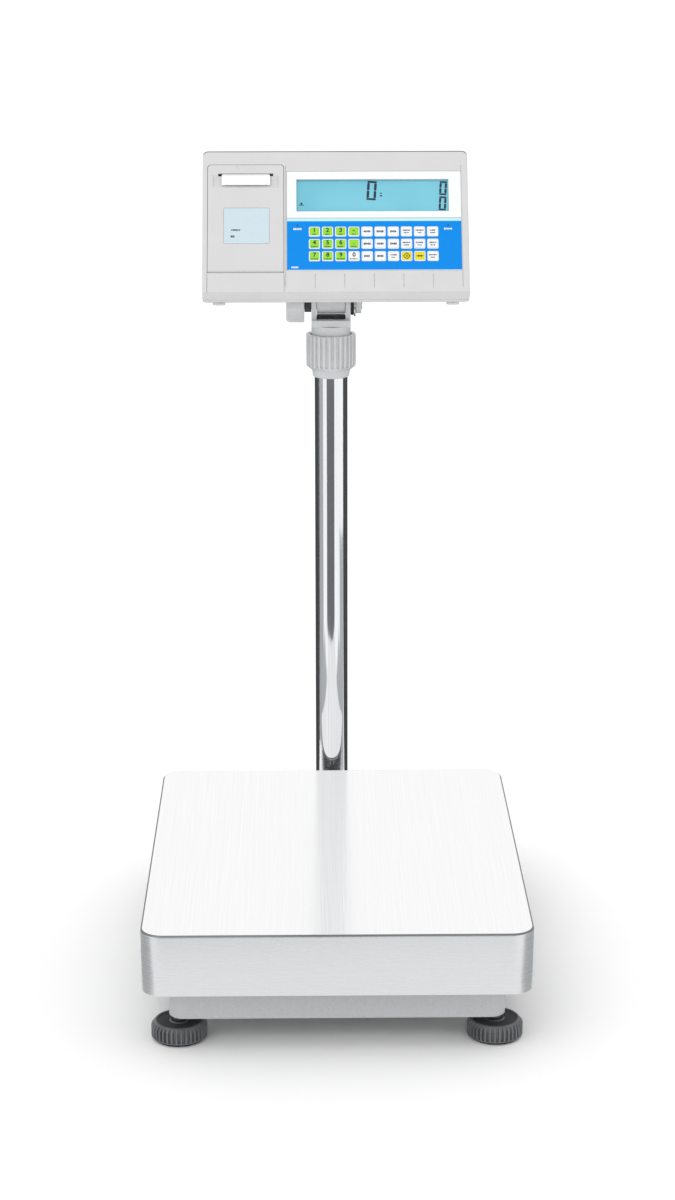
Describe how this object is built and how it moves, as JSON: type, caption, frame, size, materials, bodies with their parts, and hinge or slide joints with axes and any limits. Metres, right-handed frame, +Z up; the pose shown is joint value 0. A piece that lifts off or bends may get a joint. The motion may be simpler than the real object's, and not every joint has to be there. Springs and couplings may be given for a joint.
{
  "type": "bench scale",
  "caption": "Bench scale: stainless pan on a load-cell base with levelling feet, and a pillar that carries a swivelling, tilting indicator head with keypad and label printer.",
  "frame": {"origin": "on the floor, under the middle of the outer box", "axes": "+Z up; the keypad and the pan's short edge face -Y; +X is to the right of a person who reads the display"},
  "size_m": [0.4, 0.5886, 0.8584],
  "materials": {
    "stainless": "brushed stainless sheet",
    "chrome": "polished chrome plate",
    "silver_paint": "silver-grey stove enamel with a fine fleck",
    "black_paint": "satin black powder coat",
    "steel": "zinc-plated steel",
    "cell_aluminium": "machined and clear-anodised",
    "housing_plastic": "light warm grey ABS, fine spark texture",
    "grey_plastic": "light grey moulded nylon",
    "dark_plastic": "dark grey moulded nylon",
    "rubber": "matt black rubber",
    "keypad_film": "printed polyester film, satin",
    "display": "backlit liquid-crystal panel",
    "circuit_board": "green solder resist",
    "paper": "white label paper",
    "label_film": "pale blue printed sticker"
  },
  "bodies": {
    "base": {"base_frame": "silver_paint", "load_cell": "cell_aluminium", "top_frame": "silver_paint", "rest_pad_front_left": "rubber", "rest_pad_front_right": "rubber", "rest_pad_rear_left": "rubber", "rest_pad_rear_right": "rubber", "spirit_level": "grey_plastic", "pillar_bracket": "black_paint", "pillar_socket": "black_paint", "bracket_bolt_left": "steel", "bracket_bolt_right": "steel", "cable_gland": "dark_plastic", "pillar": "chrome", "tube_bush": "dark_plastic"},
    "pan": {"weighing_pan": "stainless"},
    "foot_pad_front_left": {"foot_sole_front_left": "rubber"},
    "foot_pad_front_right": {"foot_sole_front_right": "rubber"},
    "foot_pad_rear_left": {"foot_sole_rear_left": "rubber"},
    "foot_pad_rear_right": {"foot_sole_rear_right": "rubber"},
    "foot_wheel_front_left": {"foot_front_left": "dark_plastic"},
    "foot_wheel_front_right": {"foot_front_right": "dark_plastic"},
    "foot_wheel_rear_left": {"foot_rear_left": "dark_plastic"},
    "foot_wheel_rear_right": {"foot_rear_right": "dark_plastic"},
    "collar": {"lock_collar": "grey_plastic"},
    "yoke_body": {"yoke": "grey_plastic", "friction_washer": "rubber", "tilt_washer": "steel", "tilt_nut": "steel", "lever_spacer": "black_paint"},
    "lever": {"tilt_bolt": "steel", "tilt_lever": "grey_plastic"},
    "head": {"front_shell": "housing_plastic", "rear_shell": "housing_plastic", "tilt_boss": "grey_plastic", "head_strip_left": "rubber", "head_strip_right": "rubber", "case_screw_low_left": "steel", "case_screw_low_right": "steel", "case_screw_high_left": "steel", "case_screw_high_right": "steel", "serial_port": "steel", "power_socket": "black_paint", "cell_socket": "black_paint", "battery_pack": "dark_plastic", "keypad_membrane": "keypad_film", "lcd_module": "display", "main_board": "circuit_board", "printer_cradle": "grey_plastic", "print_chassis": "steel", "print_motor": "steel"},
    "door": {"printer_door": "housing_plastic", "door_label": "label_film", "label_strip": "paper"},
    "platen": {"platen_roller": "rubber", "platen_shaft": "steel"},
    "pinion": {"motor_gear": "grey_plastic"},
    "paper_roll": {"label_roll": "paper", "roll_spindle": "grey_plastic"}
  },
  "joints": [
    {"name": "pan_lift", "type": "slide", "parent": "base", "child": "pan", "axis": [0, 0, 1], "range_m": [0, 0.12]},
    {"name": "foot_rise_front_left", "type": "slide", "parent": "base", "child": "foot_pad_front_left", "axis": [0, 0, 1], "range_m": [-0.003, 0.003]},
    {"name": "foot_turn_front_left", "type": "hinge", "parent": "foot_pad_front_left", "child": "foot_wheel_front_left", "pos_m": [-0.1635, -0.24725, 0.02], "axis": [0, 0, 1], "range_deg": [-720, 720]},
    {"name": "foot_rise_front_right", "type": "slide", "parent": "base", "child": "foot_pad_front_right", "axis": [0, 0, 1], "range_m": [-0.003, 0.003]},
    {"name": "foot_turn_front_right", "type": "hinge", "parent": "foot_pad_front_right", "child": "foot_wheel_front_right", "pos_m": [0.1635, -0.24725, 0.02], "axis": [0, 0, 1], "range_deg": [-720, 720]},
    {"name": "foot_rise_rear_left", "type": "slide", "parent": "base", "child": "foot_pad_rear_left", "axis": [0, 0, 1], "range_m": [-0.003, 0.003]},
    {"name": "foot_turn_rear_left", "type": "hinge", "parent": "foot_pad_rear_left", "child": "foot_wheel_rear_left", "pos_m": [-0.1635, 0.15875, 0.02], "axis": [0, 0, 1], "range_deg": [-720, 720]},
    {"name": "foot_rise_rear_right", "type": "slide", "parent": "base", "child": "foot_pad_rear_right", "axis": [0, 0, 1], "range_m": [-0.003, 0.003]},
    {"name": "foot_turn_rear_right", "type": "hinge", "parent": "foot_pad_rear_right", "child": "foot_wheel_rear_right", "pos_m": [0.1635, 0.15875, 0.02], "axis": [0, 0, 1], "range_deg": [-720, 720]},
    {"name": "collar_turn", "type": "hinge", "parent": "base", "child": "collar", "pos_m": [0, 0.24575, 0.625], "axis": [0, 0, 1], "range_deg": [0, 180]},
    {"name": "head_swivel", "type": "hinge", "parent": "base", "child": "yoke_body", "pos_m": [0, 0.24575, 0.65], "axis": [0, 0, 1], "range_deg": [-160, 160]},
    {"name": "head_tilt", "type": "hinge", "parent": "yoke_body", "child": "head", "pos_m": [0, 0.24575, 0.6833], "axis": [1, 0, 0], "range_deg": [-45, 20]},
    {"name": "lever_turn", "type": "hinge", "parent": "yoke_body", "child": "lever", "pos_m": [-0.04, 0.24575, 0.6833], "axis": [1, 0, 0], "range_deg": [0, 60]},
    {"name": "door_open", "type": "hinge", "parent": "head", "child": "door", "pos_m": [-0.0963, 0.18507, 0.73223], "axis": [1, 0, 0], "range_deg": [0, 85]},
    {"name": "platen_spin", "type": "hinge", "parent": "head", "child": "platen", "pos_m": [-0.0963, 0.248, 0.82083], "axis": [1, 0, 0], "continuous": true},
    {"name": "pinion_spin", "type": "hinge", "parent": "head", "child": "pinion", "pos_m": [-0.1333, 0.254, 0.81044], "axis": [1, 0, 0], "continuous": true},
    {"name": "roll_spin", "type": "hinge", "parent": "head", "child": "paper_roll", "pos_m": [-0.0963, 0.23282, 0.75454], "axis": [1, 0, 0], "continuous": true}
  ],
  "couplings": [
    {"joint": "foot_turn_front_left", "follows": "foot_rise_front_left", "rad_per_m": 4188.8},
    {"joint": "foot_turn_front_right", "follows": "foot_rise_front_right", "rad_per_m": 4188.8},
    {"joint": "foot_turn_rear_left", "follows": "foot_rise_rear_left", "rad_per_m": 4188.8},
    {"joint": "foot_turn_rear_right", "follows": "foot_rise_rear_right", "rad_per_m": 4188.8},
    {"joint": "pinion_spin", "follows": "roll_spin", "ratio": -8.4},
    {"joint": "platen_spin", "follows": "roll_spin", "ratio": 5.6}
  ]
}
